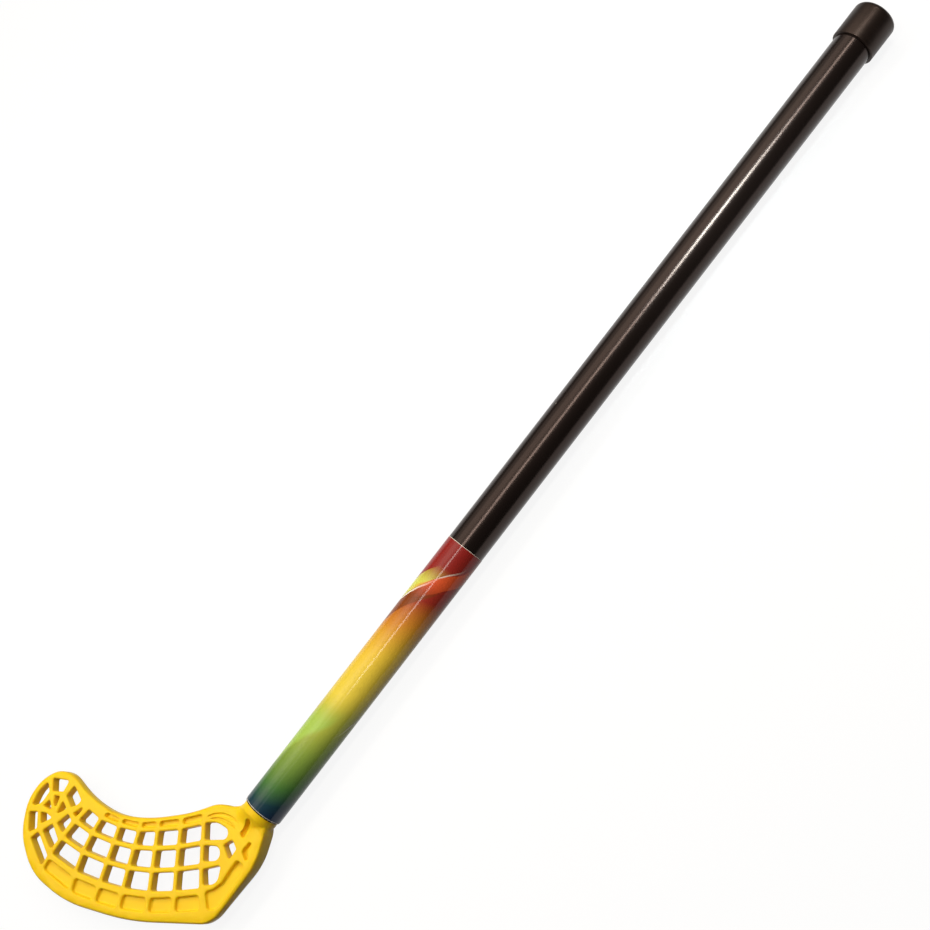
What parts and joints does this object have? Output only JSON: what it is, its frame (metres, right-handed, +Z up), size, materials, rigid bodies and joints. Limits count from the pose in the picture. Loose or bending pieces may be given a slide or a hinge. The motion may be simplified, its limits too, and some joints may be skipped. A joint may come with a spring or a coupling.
{
  "type": "floorball stick",
  "caption": "Junior floorball stick: straight round plastic shaft with a push-on end cap, a printed film round its lower third and a flat open-lattice blade set at an angle.",
  "frame": {"origin": "middle of the underside of the bounding box; the stick lies flat on its rear face", "axes": "+X along the shaft from the blade to the end cap, +Y towards the toe of the blade, +Z up, square to the blade's face"},
  "size_m": [0.959, 0.2, 0.0362],
  "materials": {
    "black_tube": "satin",
    "black_cap": "satin",
    "printed_film": "gloss",
    "yellow_blade": "satin",
    "screw_steel": "satin"
  },
  "bodies": {
    "root": {"shaft_tube": "black_tube", "end_cap": "black_cap", "decal_wrap": "printed_film", "blade": "yellow_blade", "blade_screw": "screw_steel"}
  },
  "joints": []
}
